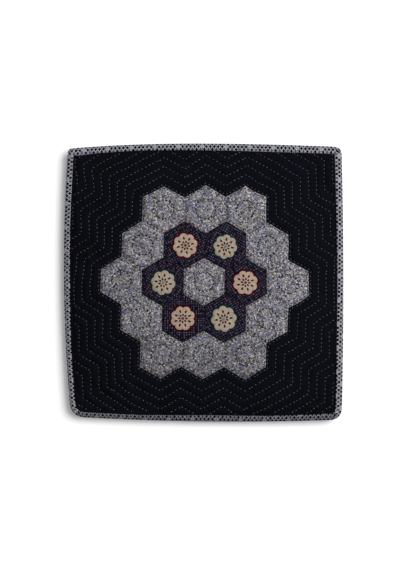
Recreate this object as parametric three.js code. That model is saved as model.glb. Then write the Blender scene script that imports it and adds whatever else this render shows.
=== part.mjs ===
// Patchwork cushion cover, lightly filled, lying on its back. Millimetres, +Z up.
// The origin is on the surface under the middle of the cover. The top of the picture is +Y.
import * as THREE from 'three';

// Outer edge of the cover, seen from above. bow is how far the side that starts at a corner
// stands out at its middle, lean is how much fuller it is towards its end, and rounding is how
// far the corner's curve reaches along the sides.
const CORNERS = [
  { name: 'bottom left', x: -213.3, y: -215.4, rounding: 22, bow: 5.4, lean: 0 },
  { name: 'bottom right', x: 221.8, y: -220.4, rounding: 20, bow: 2.8, lean: 0 },
  { name: 'top right', x: 221.5, y: 218.1, rounding: 13, bow: 6.8, lean: 0.3 },
  { name: 'top left', x: -218.1, y: 215.1, rounding: 8, bow: 9, lean: 0 },
];
const LEAST_ROUNDING = 1.5;

// Thickness of the cushion, from the surface up.
const SEAM_HEIGHT = 18;
const FRONT_CROWN = 28;
const BACK_CROWN = 25;
const CROWN_POWER = 2.6;
const REST_SOFTNESS = 3;

// Gentle rise and fall of the side seam: amount, waves across the cover in x and y, and start.
const COVER_SIDE = 450;
const SEAM_WAVES = [
  { rise: 1.1, alongX: 0.5, alongY: 0.4, start: 0.6 },
  { rise: 0.8, alongX: -0.7, alongY: 0.9, start: 2.1 },
];

// Binding: one strip of print folded round the raw edge and sewn down on both faces.
const BINDING_WIDTH = 10.4;
const BINDING_WALL = 1.3;
const BINDING_HEM = { width: 2, thickness: 0.6 };
const BINDING_SOFTNESS = { swell: 0.1, shoulder: 0.6, reach: 0.3 };
const GAP = 0.3;
const CLEAR_OF_HEM = 0.4;
const EDGE_THICKNESS = 2.6;

// Rosette of hexagon patches: rows of patches from the bottom up.
const HEXAGON_SIDE = 39;
const ROSETTE_ROWS = [3, 4, 5, 4, 3];
const ROSETTE_PLACE = { x: 1.3, y: 1.2, lean: 0.0166 };
const PATCH_CIRCLE = 16.2;
const PATCH_RISE = 1.5;
const CIRCLE_RISE = 0.5;
const CIRCLE_STEPS = { crest: 12, stitched: 12, inner: 6 };

// Quilting on the dark ground: lines that echo the rosette's edge outwards.
const FIRST_ECHO = 3;
const ECHO_SPACING = 13;
const ECHO_RISE = 1.6;
const ECHO_FULLNESS = 2.2;
const LAST_ECHO = 120;
const RELIEF_FADE = 7;

// Soft troughs where the cover creases: start and end, half width and depth.
const FOLDS = [
  { name: 'bottom left corner', x0: -208, y0: -173, x1: -177, y1: -200, half: 4, depth: 2.4 },
  { name: 'bottom left', x0: -178, y0: -166, x1: -124, y1: -206, half: 8, depth: 2.2 },
  { name: 'bottom right', x0: 124, y0: -208, x1: 166, y1: -152, half: 7, depth: 2.4 },
  { name: 'right of it', x0: 165, y0: -150, x1: 206, y1: -124, half: 6.5, depth: 2.2 },
  { name: 'bottom right corner', x0: 178, y0: -193, x1: 206, y1: -183, half: 4, depth: 1.6 },
  { name: 'right upper', x0: 180, y0: 2, x1: 212, y1: 0, half: 4, depth: 1.3 },
  { name: 'right lower', x0: 182, y0: -16, x1: 212, y1: -21, half: 4, depth: 1.3 },
  { name: 'left upper', x0: -214, y0: 138, x1: -168, y1: 148, half: 6, depth: 1.2 },
];

// Fineness of the surfaces.
const BODY_STEPS = 36;
const BINDING_STEPS = 24;
const CORNER_STEPS = 3;
const LINE_STEP = 10;
const HEXAGON_EDGE_STEPS = 4;
const BACK_STEP = 22;
const CLEAR_OF_EDGE = 4.5;
const CLEAR_OF_POINTS = 2.5;

// Insets from the outer edge.
const FLANGE_INSET = BINDING_WALL + GAP;
const OPENING_INSET = BINDING_WIDTH + CLEAR_OF_HEM;
const EDGE_HALF = EDGE_THICKNESS / 2;

function along(from, to, share) {
  return new THREE.Vector2().lerpVectors(from, to, share);
}

function outward(from, to) {
  const way = to.clone().sub(from).normalize();
  return new THREE.Vector2(way.y, -way.x);
}

// Where the line through p along u meets the line through q along v.
function meeting(p, u, q, v) {
  const gap = q.clone().sub(p);
  return p.clone().addScaledVector(u, gap.cross(v) / u.cross(v));
}

// How far a side stands out at a share of the way along it.
function bulge({ bow, lean }, f) {
  return 4 * bow * f * (1 - f) * (1 + lean * (2 * f - 1));
}

function next(list, i) {
  return list[(i + 1) % list.length];
}

function before(list, i) {
  return list[(i + list.length - 1) % list.length];
}

// The cover's four corners before rounding, moved in by an inset.
function cornersAt(inset) {
  const points = CORNERS.map(({ x, y }) => new THREE.Vector2(x, y));
  return points.map((point, i) => {
    const normalIn = outward(before(points, i), point);
    const normalOut = outward(point, next(points, i));
    const miter = normalIn.clone().add(normalOut).divideScalar(1 + normalIn.dot(normalOut));
    return point.clone().addScaledVector(miter, -inset);
  });
}

// A closed ring of points along the cover's edge, counterclockwise, moved in by an inset.
function edgeRing(inset, steps) {
  const corners = cornersAt(inset);
  const sides = corners.map((from, i) => {
    const to = next(corners, i);
    const normal = outward(from, to);
    const length = from.distanceTo(to);
    const trim = (corner) => Math.max(corner.rounding - inset, LEAST_ROUNDING) / length;
    const start = trim(CORNERS[i]);
    const end = 1 - trim(next(CORNERS, i));
    const place = (f) => along(from, to, f).addScaledVector(normal, bulge(CORNERS[i], f));
    const points = [];
    for (let k = 0; k <= steps; k += 1) points.push(place(start + ((end - start) * k) / steps));
    return points;
  });
  const ring = [];
  sides.forEach((side, i) => {
    const following = next(sides, i);
    const last = side[side.length - 1];
    const wayOut = last.clone().sub(side[side.length - 2]);
    const wayIn = following[1].clone().sub(following[0]);
    const curve = new THREE.QuadraticBezierCurve(
      last,
      meeting(last, wayOut, following[0], wayIn),
      following[0],
    );
    ring.push(...side);
    for (let k = 1; k <= CORNER_STEPS; k += 1) ring.push(curve.getPoint(k / (CORNER_STEPS + 1)));
  });
  return ring;
}

const OPENING = cornersAt(OPENING_INSET);

// Place across the opening inside the binding: -1 to 1 each way, and the distance to its edge.
function acrossOpening(x, y) {
  const [bottomLeft, bottomRight, topRight, topLeft] = OPENING;
  const [bottom, right, top, left] = CORNERS;
  const side = (value, from, to) => THREE.MathUtils.clamp((value - from) / (to - from), 0, 1);
  const upLeft = side(y, bottomLeft.y, topLeft.y);
  const upRight = side(y, bottomRight.y, topRight.y);
  const overBottom = side(x, bottomLeft.x, bottomRight.x);
  const overTop = side(x, topLeft.x, topRight.x);
  const between = THREE.MathUtils.lerp;
  const xLow = between(bottomLeft.x, topLeft.x, upLeft) - bulge(left, 1 - upLeft);
  const xHigh = between(bottomRight.x, topRight.x, upRight) + bulge(right, upRight);
  const yLow = between(bottomLeft.y, bottomRight.y, overBottom) - bulge(bottom, overBottom);
  const yHigh = between(topLeft.y, topRight.y, overTop) + bulge(top, 1 - overTop);
  return {
    X: (2 * x - xLow - xHigh) / (xHigh - xLow),
    Y: (2 * y - yLow - yHigh) / (yHigh - yLow),
    toEdge: Math.min(x - xLow, xHigh - x, y - yLow, yHigh - y),
  };
}

function seamHeight(x, y) {
  const turn = (2 * Math.PI) / COVER_SIDE;
  return SEAM_WAVES.reduce(
    (height, { rise, alongX, alongY, start }) =>
      height + rise * Math.sin(turn * (alongX * x + alongY * y) + start),
    SEAM_HEIGHT,
  );
}

function crown(X, Y) {
  const fall = (t) => Math.max(0, 1 - Math.abs(t) ** CROWN_POWER);
  return fall(X) * fall(Y);
}

// The rosette leans a little, so its patterns are worked out upright and then moved.
function fromRosette(u, v) {
  return new THREE.Vector2(ROSETTE_PLACE.x + u + ROSETTE_PLACE.lean * v, ROSETTE_PLACE.y + v);
}

function toRosette(x, y) {
  const v = y - ROSETTE_PLACE.y;
  return new THREE.Vector2(x - ROSETTE_PLACE.x - ROSETTE_PLACE.lean * v, v);
}

const HEXAGON_HALF = (HEXAGON_SIDE * Math.sqrt(3)) / 2;

const PATCH_CENTRES = ROSETTE_ROWS.flatMap((count, row) =>
  Array.from({ length: count }, (_, i) => new THREE.Vector2(
    (i - (count - 1) / 2) * 2 * HEXAGON_HALF,
    (row - (ROSETTE_ROWS.length - 1) / 2) * 1.5 * HEXAGON_SIDE,
  )),
);

function hexagonCorners(centre) {
  return Array.from({ length: 6 }, (_, i) => {
    const angle = Math.PI * (1 / 6 + i / 3);
    return new THREE.Vector2(Math.cos(angle), Math.sin(angle)).multiplyScalar(HEXAGON_SIDE).add(centre);
  });
}

// The rosette's outer edge: the patch edges that no other patch shares, chained counterclockwise.
function rosetteOutline() {
  const key = (p) => `${Math.round(p.x)} ${Math.round(p.y)}`;
  const edges = new Map();
  PATCH_CENTRES.forEach((centre) => {
    const corners = hexagonCorners(centre);
    corners.forEach((from, i) => {
      const to = next(corners, i);
      edges.set(`${key(from)} ${key(to)}`, [from, to]);
    });
  });
  const outer = new Map();
  edges.forEach(([from, to]) => {
    if (!edges.has(`${key(to)} ${key(from)}`)) outer.set(key(from), [from, to]);
  });
  const outline = [];
  let [from, to] = outer.values().next().value;
  while (outline.length < outer.size) {
    outline.push(from);
    [from, to] = outer.get(key(to));
  }
  return outline;
}

// Corners of the rosette's outline with the way each one moves as the echo lines go out.
const OUTLINE = rosetteOutline().map((point, i, points) => {
  const normalIn = outward(before(points, i), point);
  const normal = outward(point, next(points, i));
  const miter = normalIn.clone().add(normal).divideScalar(1 + normalIn.dot(normal));
  return { point, normal, miter, way: next(points, i).clone().sub(point).normalize() };
});

function echoLine(distance) {
  return OUTLINE.map(({ point, miter }) => point.clone().addScaledVector(miter, distance));
}

// Distance of a place from the rosette's edge in the echo lines' own measure; null inside it.
function echoDistance(place) {
  for (let i = 0; i < OUTLINE.length; i += 1) {
    const { point, normal, miter, way } = OUTLINE[i];
    const following = next(OUTLINE, i);
    const offset = place.clone().sub(point);
    const distance = offset.dot(normal);
    const walked = offset.dot(way);
    const start = distance * miter.dot(way);
    const end = point.distanceTo(following.point) + distance * following.miter.dot(way);
    if (distance > 0 && walked >= start && walked <= end) return distance;
  }
  return null;
}

// Puffed rows between the echo lines.
function echoRelief(distance) {
  if (distance < FIRST_ECHO) return 0;
  const phase = ((distance - FIRST_ECHO) / ECHO_SPACING) % 1;
  return ECHO_RISE * (1 - Math.abs(2 * phase - 1) ** ECHO_FULLNESS);
}

// A patch is puffed between its edge and its stitched circle, and again inside the circle.
function patchRelief(place) {
  const centre = PATCH_CENTRES.reduce(
    (best, other) => (other.distanceTo(place) < best.distanceTo(place) ? other : best),
  );
  const offset = place.clone().sub(centre);
  const radius = offset.length();
  if (radius < PATCH_CIRCLE) {
    return CIRCLE_RISE + (PATCH_RISE - CIRCLE_RISE) * (1 - (radius / PATCH_CIRCLE) ** 2);
  }
  const reach = [0, 1, 2].map((i) => Math.abs(offset.dot(
    new THREE.Vector2(Math.cos((i * Math.PI) / 3), Math.sin((i * Math.PI) / 3)),
  )));
  const toSide = Math.max(0, HEXAGON_HALF - Math.max(...reach));
  const share = toSide / (toSide + radius - PATCH_CIRCLE);
  return CIRCLE_RISE * share + PATCH_RISE * 4 * share * (1 - share);
}

function foldDepth(x, y) {
  const place = new THREE.Vector2(x, y);
  return FOLDS.reduce((depth, fold) => {
    const start = new THREE.Vector2(fold.x0, fold.y0);
    const run = new THREE.Vector2(fold.x1, fold.y1).sub(start);
    const share = THREE.MathUtils.clamp(place.clone().sub(start).dot(run) / run.lengthSq(), 0, 1);
    const away = place.distanceTo(start.clone().addScaledVector(run, share)) / fold.half;
    return depth + fold.depth * Math.exp(-(away ** 2));
  }, 0);
}

function frontHeight(x, y) {
  const { X, Y, toEdge } = acrossOpening(x, y);
  const place = toRosette(x, y);
  const distance = echoDistance(place);
  const relief = distance === null ? patchRelief(place) : echoRelief(distance);
  const fade = THREE.MathUtils.smoothstep(toEdge, 0, RELIEF_FADE);
  return seamHeight(x, y) + EDGE_HALF + FRONT_CROWN * crown(X, Y) + fade * (relief - foldDepth(x, y));
}

// The back hangs down to the surface and is flat where it rests on it.
function backHeight(x, y) {
  const { X, Y } = acrossOpening(x, y);
  const free = seamHeight(x, y) - EDGE_HALF - BACK_CROWN * crown(X, Y);
  if (free >= REST_SOFTNESS) return free;
  if (free <= -REST_SOFTNESS) return 0;
  return (free + REST_SOFTNESS) ** 2 / (4 * REST_SOFTNESS);
}

// Triangles over scattered points by adding them one at a time to a large first triangle.
// A tiny nudge parts points that lie on one circle; the ring round the opening keeps its place.
function triangulate(points) {
  const far = 50000;
  const nudge = 1e-4;
  const spots = points.map(({ x, y, fixed }, i) => {
    const away = fixed ? 0 : nudge;
    return { x: x + away * Math.sin(i * i), y: y + away * Math.cos(i * i) };
  });
  const count = spots.length;
  spots.push({ x: -far, y: -far }, { x: far, y: -far }, { x: 0, y: far });
  const circled = (a, b, c) => {
    const [ax, ay] = [spots[a].x, spots[a].y];
    const [bx, by] = [spots[b].x - ax, spots[b].y - ay];
    const [cx, cy] = [spots[c].x - ax, spots[c].y - ay];
    const twice = 2 * (bx * cy - by * cx);
    const x = (cy * (bx * bx + by * by) - by * (cx * cx + cy * cy)) / twice;
    const y = (bx * (cx * cx + cy * cy) - cx * (bx * bx + by * by)) / twice;
    return { corners: [a, b, c], x: ax + x, y: ay + y, square: x * x + y * y };
  };
  let triangles = [circled(count, count + 1, count + 2)];
  for (let i = 0; i < count; i += 1) {
    const { x, y } = spots[i];
    const rim = new Map();
    const kept = [];
    triangles.forEach((triangle) => {
      if ((x - triangle.x) ** 2 + (y - triangle.y) ** 2 >= triangle.square) {
        kept.push(triangle);
        return;
      }
      triangle.corners.forEach((a, k) => {
        const b = triangle.corners[(k + 1) % 3];
        if (rim.has(`${b} ${a}`)) rim.delete(`${b} ${a}`);
        else rim.set(`${a} ${b}`, [a, b]);
      });
    });
    rim.forEach(([a, b]) => kept.push(circled(a, b, i)));
    triangles = kept;
  }
  return triangles.map(({ corners }) => corners).filter((corners) => Math.max(...corners) < count);
}

function closedMesh(name, vertices, triangles, material) {
  const geometry = new THREE.BufferGeometry();
  geometry.setAttribute('position', new THREE.Float32BufferAttribute(vertices.flat(), 3));
  geometry.setIndex(triangles.flat());
  geometry.computeVertexNormals();
  const mesh = new THREE.Mesh(geometry, material);
  mesh.name = name;
  return mesh;
}

// Two triangles for each step of a band between two rings of the same number of points.
function band(first, second, count) {
  return Array.from({ length: count }, (_, i) => {
    const j = (i + 1) % count;
    return [
      [first + i, second + i, second + j],
      [first + i, second + j, first + j],
    ];
  }).flat();
}

// Points of the quilted front inside the opening: patch edges, circles, echo lines and their crests.
function frontPoints() {
  const points = [];
  const add = (u, v) => {
    const place = fromRosette(u, v);
    const clear = acrossOpening(place.x, place.y).toEdge > CLEAR_OF_EDGE;
    if (clear && points.every((p) => p.distanceTo(place) > CLEAR_OF_POINTS)) points.push(place);
  };
  const addLine = (corners, steps) => corners.forEach((from, i) => {
    const to = next(corners, i);
    const pieces = steps ?? Math.max(1, Math.round(from.distanceTo(to) / LINE_STEP));
    for (let k = 0; k < pieces; k += 1) {
      const place = along(from, to, k / pieces);
      add(place.x, place.y);
    }
  });
  const addCircle = (centre, radius, count) => {
    for (let k = 0; k < count; k += 1) {
      const angle = (2 * Math.PI * (k + 0.5)) / count;
      add(centre.x + radius * Math.cos(angle), centre.y + radius * Math.sin(angle));
    }
  };
  PATCH_CENTRES.forEach((centre) => {
    addLine(hexagonCorners(centre), HEXAGON_EDGE_STEPS);
    addCircle(centre, (PATCH_CIRCLE + HEXAGON_HALF) / 2, CIRCLE_STEPS.crest);
    addCircle(centre, PATCH_CIRCLE, CIRCLE_STEPS.stitched);
    addCircle(centre, PATCH_CIRCLE / 2, CIRCLE_STEPS.inner);
    add(centre.x, centre.y);
  });
  for (let distance = FIRST_ECHO; distance < LAST_ECHO; distance += ECHO_SPACING / 2) {
    addLine(echoLine(distance));
  }
  return points;
}

// Points of the plain back, in rows that are set half a step apart.
function backPoints() {
  const points = [];
  const rows = Math.round(COVER_SIDE / BACK_STEP);
  for (let row = 0; row <= rows; row += 1) {
    const shift = row % 2 ? 1 / 4 : -1 / 4;
    for (let column = 0; column <= rows; column += 1) {
      const x = (column + shift - rows / 2) * BACK_STEP;
      const y = (row - rows / 2) * BACK_STEP;
      if (acrossOpening(x, y).toEdge > CLEAR_OF_EDGE) points.push(new THREE.Vector2(x, y));
    }
  }
  return points;
}

// One filled body: quilted front, plain back, and the thin edge that the binding holds.
function cushionBody(material) {
  const opening = edgeRing(OPENING_INSET, BODY_STEPS).map((p) => ({ x: p.x, y: p.y, fixed: true }));
  const flange = edgeRing(FLANGE_INSET, BODY_STEPS);
  const count = opening.length;
  const front = [...opening, ...frontPoints()];
  const back = [...opening, ...backPoints()];
  const edge = (side) => ({ x, y }) => [x, y, seamHeight(x, y) + side * EDGE_HALF];
  const vertices = [
    ...front.map((p) => (p.fixed ? edge(1)(p) : [p.x, p.y, frontHeight(p.x, p.y)])),
    ...flange.map(edge(1)),
    ...flange.map(edge(-1)),
    ...back.map((p) => (p.fixed ? edge(-1)(p) : [p.x, p.y, backHeight(p.x, p.y)])),
  ];
  const flangeTop = front.length;
  const flangeBottom = flangeTop + count;
  const backStart = flangeBottom + count;
  const triangles = [
    ...triangulate(front),
    ...band(0, flangeTop, count),
    ...band(flangeTop, flangeBottom, count),
    ...band(flangeBottom, backStart, count),
    ...triangulate(back).map(([a, b, c]) => [backStart + a, backStart + c, backStart + b]),
  ];
  return closedMesh('cushion_body', vertices, triangles, material);
}

// The folded strip's section, from its hem on the front round the edge to its hem on the back:
// how far in from the outer edge, and how far above the side seam.
function bindingSection() {
  const inside = EDGE_HALF + GAP;
  const outside = inside + BINDING_WALL;
  const upper = [
    { inset: BINDING_WIDTH, rise: inside + BINDING_HEM.thickness },
    { inset: BINDING_WIDTH - BINDING_HEM.width, rise: outside - BINDING_SOFTNESS.swell },
    { inset: BINDING_WIDTH / 2, rise: outside + BINDING_SOFTNESS.swell },
    { inset: BINDING_WALL, rise: outside - BINDING_SOFTNESS.shoulder },
    { inset: BINDING_SOFTNESS.reach, rise: EDGE_HALF },
  ];
  const lower = upper.map(({ inset, rise }) => ({ inset, rise: -rise })).reverse();
  return [
    ...upper,
    { inset: 0, rise: 0 },
    ...lower,
    { inset: BINDING_WIDTH, rise: -inside },
    { inset: BINDING_WALL, rise: -inside },
    { inset: BINDING_WALL, rise: inside },
    { inset: BINDING_WIDTH, rise: inside },
  ];
}

function edgeBinding(material) {
  const section = bindingSection();
  const rings = section.map(({ inset }) => edgeRing(inset, BINDING_STEPS));
  const count = rings[0].length;
  const vertices = rings.flatMap((ring, i) =>
    ring.map(({ x, y }) => [x, y, seamHeight(x, y) + section[i].rise]));
  const triangles = section.flatMap((_, i) =>
    band(i * count, ((i + 1) % section.length) * count, count));
  return closedMesh('edge_binding', vertices, triangles, material);
}

const darkCotton = new THREE.MeshStandardMaterial({ color: 0x12131a, roughness: 0.95, metalness: 0 });
const dottedPrint = new THREE.MeshStandardMaterial({ color: 0x6a6b73, roughness: 0.92, metalness: 0 });

const group = new THREE.Group();
group.name = 'patchwork_cushion_cover';
group.add(cushionBody(darkCotton), edgeBinding(dottedPrint));

export default group;
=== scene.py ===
import math

import bpy
import numpy as np
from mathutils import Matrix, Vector
from mathutils.bvhtree import BVHTree


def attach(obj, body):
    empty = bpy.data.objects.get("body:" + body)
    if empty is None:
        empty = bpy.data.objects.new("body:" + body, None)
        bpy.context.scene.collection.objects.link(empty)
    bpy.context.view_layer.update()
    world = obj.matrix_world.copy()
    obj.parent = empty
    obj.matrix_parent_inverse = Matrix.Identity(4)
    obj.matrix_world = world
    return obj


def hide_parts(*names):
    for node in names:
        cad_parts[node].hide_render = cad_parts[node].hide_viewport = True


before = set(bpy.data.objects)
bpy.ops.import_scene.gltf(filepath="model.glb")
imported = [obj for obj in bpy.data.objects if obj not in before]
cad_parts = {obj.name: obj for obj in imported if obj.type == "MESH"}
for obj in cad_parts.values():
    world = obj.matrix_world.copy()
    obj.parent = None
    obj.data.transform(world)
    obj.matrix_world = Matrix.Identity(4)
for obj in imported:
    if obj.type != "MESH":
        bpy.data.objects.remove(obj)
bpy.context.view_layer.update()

# Patchwork cushion cover, lightly filled, lying on its back. Sizes are in millimetres, and every
# mesh is turned to metres where it is made. +Z is up, and the top of the picture is +Y.
MM = 0.001
SEED = 19

# Outer edge seen from above. bow is how far the side that starts at a corner stands out at its
# middle, lean is how much fuller it is towards its end, and rounding is how far the corner's curve
# reaches along the sides.
CORNERS = (
    dict(x=-213.3, y=-215.4, rounding=22, bow=5.4, lean=0),     # bottom left
    dict(x=221.8, y=-220.4, rounding=20, bow=2.8, lean=0),      # bottom right
    dict(x=221.5, y=218.1, rounding=13, bow=6.8, lean=0.3),     # top right
    dict(x=-218.1, y=215.1, rounding=8, bow=9, lean=0),         # top left
)
LEAST_ROUNDING = 1.5

# Thickness of the cushion from the surface up.
SEAM_HEIGHT = 18
FRONT_CROWN = 28
BACK_CROWN = 25
CROWN_POWER = 2.6
REST_SOFTNESS = 3
COVER_SIDE = 450
SEAM_WAVES = (
    dict(rise=1.1, along_x=0.5, along_y=0.4, start=0.6),
    dict(rise=0.8, along_x=-0.7, along_y=0.9, start=2.1),
)

# Binding: one strip of print folded round the raw edge.
BINDING_WIDTH = 10.4
BINDING_WALL = 1.3
GAP = 0.3
CLEAR_OF_HEM = 0.4
EDGE_HALF = 1.3
OPENING_INSET = BINDING_WIDTH + CLEAR_OF_HEM
FLANGE_INSET = BINDING_WALL + GAP
# The strip's front, from its sewn edge outward: inset from the cover's outer edge, and height over the
# cushion's edge that it encloses.
BINDING_FRONT = (
    (BINDING_WIDTH, 0.1), (BINDING_WIDTH, 1.6), (BINDING_WIDTH - 0.35, 2.2), (BINDING_WIDTH - 1.2, 2.5),
    (BINDING_WIDTH - 2.6, 2.5), (BINDING_WIDTH / 2, 2.0), (3.6, 1.5), (2.3, 0.9), (1.3, 0.35), (0.6, -0.35),
    (0.15, -1),
)
# Unevenness of the strip where it stands more than LUMP_FROM over what it encloses.
LUMP_RISE = 0.12
LUMP_LENGTH = 14
LUMP_FROM = 0.6

# How the print lies along the bottom, right, top and left side: inset of the row of all-black dots at
# five even places along the side, distance between its dots, and where a group of dots starts.
PRINT_LAY = (
    dict(rows=(0.6, 0.7, 4.0, 1.0, 1.0), pitch=6.41, start=9.5),
    dict(rows=(11.2, 9.4, 7.0, 5.0, 4.0), pitch=6.42, start=6.3),
    dict(rows=(5.0, 5.0, 5.0, 4.7, 4.3), pitch=6.35, start=1.2),
    dict(rows=(3.0, 2.2, 0.8, -0.3, -0.8), pitch=6.31, start=18.5),
)
# How much wider the strip shows, by place round the cover: 0 at the bottom left corner, 1 at the bottom
# right one, and so on.
BINDING_WIDER = (
    (0, -2.3), (0.25, -2.3), (0.5, 0), (0.75, -1.3), (1, -0.2), (1.25, 0.1), (1.5, -0.1), (1.75, 0.4),
    (2, 1.0), (2.25, 1.6), (2.5, 0.7), (2.75, -0.4), (2.93, 0.3), (2.965, 1.2), (2.99, 1.4), (3.01, -1.4),
    (3.1, -0.9), (3.25, -1.0), (3.5, -0.6), (3.75, -2.0), (4, -2.3),
)
# The place where the top strip's end laps over the left strip.
LAP_DEPTH = 10.2
LAP_STEP = 0.5
LAP_RISE = 1.3

# Rosette of hexagon patches, rows from the bottom up. lean is its slant to the right.
HEXAGON_SIDE = 39
HEXAGON_HALF = HEXAGON_SIDE * math.sqrt(3) / 2
ROSETTE_ROWS = (3, 4, 5, 4, 3)
ROSETTE_X, ROSETTE_Y, ROSETTE_LEAN = 1.3, 1.2, 0.0166
PATCH_CIRCLE = 16.2
FLOWER_CIRCLE = 20.5
PATCH_RISE = 1.5
CIRCLE_RISE = 0.5
PATCH_THICKNESS = 0.8
PATCH_TUCK = 1.5
PATCH_DEPTH = 1.5

# Quilting.
FIRST_ECHO = 3
ECHO_SPACING = 13
ECHO_RISE = 1.6
ECHO_FULLNESS = 2.2
LAST_ECHO = 120
RELIEF_FADE = 7
PATCH_LINE = 2.3
GROOVE_HALF = 1.3
GROOVE_DEPTH = 0.6

# Running stitches: distance from one to the next, length that shows and thread thickness.
ECHO_STITCH = dict(pitch=6.6, length=2.3, thread=0.7)
PATCH_STITCH = dict(pitch=6.5, length=3.6, thread=1.7)
CIRCLE_STITCH = dict(pitch=5.8, length=3.9, thread=2.3)
STITCH_CLEAR_OF_BINDING = 1.0
# How unevenly they are sewn: share of the pitch, least and greatest share of the length, and distance that
# a stitch and one end of it lie off the line.
UNEVEN_SEWING = dict(pitch=0.07, shortest=0.8, longest=1.15, wander=0.22, slant=0.1)
# One stitch from end to end: place along it, share of the thickness, and height of its middle.
STITCH_PROFILE = (
    (-1, 0.25, -0.5), (-0.8, 0.75, -0.15), (-0.4, 1, 0.15), (0, 1, 0.22), (0.4, 1, 0.15),
    (0.8, 0.75, -0.15), (1, 0.25, -0.5),
)
STITCH_SIDES = 6
STITCH_FLATTENED = 0.8

# Soft troughs where the cover creases: start, end, half width and depth.
FOLDS = (
    ((-208, -173), (-177, -200), 4, 2.4), ((-178, -166), (-124, -206), 8, 2.2),
    ((124, -208), (166, -152), 7, 2.4), ((165, -150), (206, -124), 6.5, 2.2),
    ((178, -193), (206, -183), 4, 1.6), ((180, 2), (212, 0), 4, 1.3),
    ((182, -16), (212, -21), 4, 1.3), ((-214, 138), (-168, 148), 6, 1.2),
)

# Uneven pull of hand quilting: wave length across the cloth and rise.
PUCKERS = (
    dict(length=9, rise=0.10),
    dict(length=26, rise=0.30),
    dict(length=70, rise=0.55),
)
UNEVEN_LENGTH = 110
UNEVEN_SHARE = 0.35

# Where the hand sewing strays from its regular place: x and y of that place, and how far off it lies.
STRAYS = (
    (-204, 200, -3.5, -3), (-204, 160, 2.5, -2), (-191, 192, -2.8, -2), (-191, 153, 3.2, -1.5),
    (-178, 184, -1.6, -1), (-179, 145, 3.1, 0), (-152, 169, 0.7, 0), (-153, 130, 2.8, -1),
    (-187, 111, 3, -1.5), (-188, 72, 5.1, 0), (-209, 45, 5.3, -1), (-183, 30, 4.5, -1.6),
    (-149, 69, 2.3, -1), (-113, 147, 0.7, -0.5), (-168, 14, 2.8, 0), (-197, -14, 0.7, 2),
    (-111, 193, 0, -3.1), (-81, 210, 0, -4.5), (-63, 205, 0.5, -6), (-63, 173, 0, -3),
    (-30, 156, -0.5, -3.4), (-30, 186, -0.5, -4.4), (4, 185, 0, -1.3), (37, 152, -2.9, -0.2),
    (38, 186, -0.5, -0.9), (38, 204, 0, -3.5), (70, 160, -5, -2), (72, 178, -3.2, -2),
    (72, 206, -1.6, -4.8), (103, 132, -2.6, 0), (123, 147, -6.2, -2.5), (101, 122, -6.7, 0.5),
    (122, 108, -4.5, -1.3), (154, 88, -1.3, -3.9), (153, 49, -1.2, -1.8), (187, 30, -2, -4.5),
    (147, 162, -5.8, -1), (160, 130, -4.5, -4.5), (180, 103, -2.3, -5.2), (180, 64, -1.6, -4),
    (187, 184, -7, 3), (186, 145, -5.2, -6.5), (200, 37, -2.8, -3.5), (200, 192, -6.1, 6),
    (206, 118, -2.8, -4.6), (186, -28, -1.5, -1.5), (200, 0, -3, 0), (213, 0, -4, 0),
    (151, -47, -0.5, -2.2), (151, -86, -1, -1.5), (117, -105, -1.2, -1.2), (116, -145, -1.5, 0),
    (177, -101, -1.3, -3), (177, -62, -1.3, -2.5), (155, -128, 0.5, -3), (202, -116, -0.7, -4.5),
    (168, -136, 0, -4), (155, -167, 0.7, -3.5), (145, -188, 0, -5), (120, -187, 0, -3.5),
    (194, -150, 1.2, -3), (66, -173, 0, -0.8), (33, -154, 0, -0.8), (32, -199, -1.5, 0),
    (-35, -154, 0, -0.8), (-69, -173, 0, 0), (-108, -166, 0, -2.8), (-118, -105, 0.5, 1),
    (-151, -47, 2.2, 1), (-151, -86, 2.2, 0), (-184, -28, 2.2, 4), (-177, -62, 3, 5.4),
    (-190, -70, 3.2, 8), (-191, -108, 4.2, 0.6), (-203, -77, 2.5, 7.7), (-157, -128, 1.8, 3),
    (-158, -167, 2.6, 0), (-171, -175, 3.4, 0), (-183, -143, 2.5, 2.9), (-196, -150, 1.8, -0.6),
    (-197, -190, 3.6, 5), (-210, -43, 2.9, 7.7), (-66, 1, 1.8, 0), (69, 1, -1.8, 0), (36, 60, -1.5, -0.8),
    (69, 58, -2.4, -0.8), (103, 8, -3, 0), (-32, 60, 1.4, 0), (-33, -57, 0.3, 0), (34, -57, -1.3, -0.6),
    (1, 1, -0.4, 0), (-68, 118, 0.5, -1), (103, 60, -1.2, -0.3), (-101, 60, 1.5, 0), (-100, -58, 0.6, 0),
    (103, -58, -0.8, 0), (-157, 26, 1.5, 2.1), (-102, -124, -0.5, 0), (-18, 145, -0.3, -0.8),
    (160, 28, -1.6, -1.2), (104, -20, -1, 0), (152, -30, 1.9, -4.6), (84, 146, -6.2, -6),
    (118, 87, -4.3, -3.4), (84, 29, -2.4, -2.9), (151, 29, -4.9, -7.7), (16, 29, -1.2, -1.6),
    (0, 92, 0.1, -1), (33, 0, -2.8, 0.1), (16, -29, -1, 0.8), (-151, -29, 3.6, 4.1),
    (-118, -87, 1.7, 2.5), (-50, -146, -1.9, 2.3), (-84, -146, 0.9, 0.6), (16, -146, -0.9, 0.8),
    (-67, 148, 0.1, -3.7), (50, 146, -2.1, -2.2), (135, -58, -2.1, -1.3), (168, 0, -2.7, -0.5),
    (-101, 116, -0.4, -0.6),
)
STRAY_REACH = 22
STRAY_HOLD = 0.05

# Round flowers on the check patches.
PETALS = 8
PETAL_RADIUS = 6.9
PETAL_REACH = 12.8
RIM_WIDTH = {"red": 2.6, "teal": 2.2}
FLOWER_THICKNESS = 0.45
# The flat underside lies this far below the rim, inside the patch.
FLOWER_DEPTH = 2.6
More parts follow.
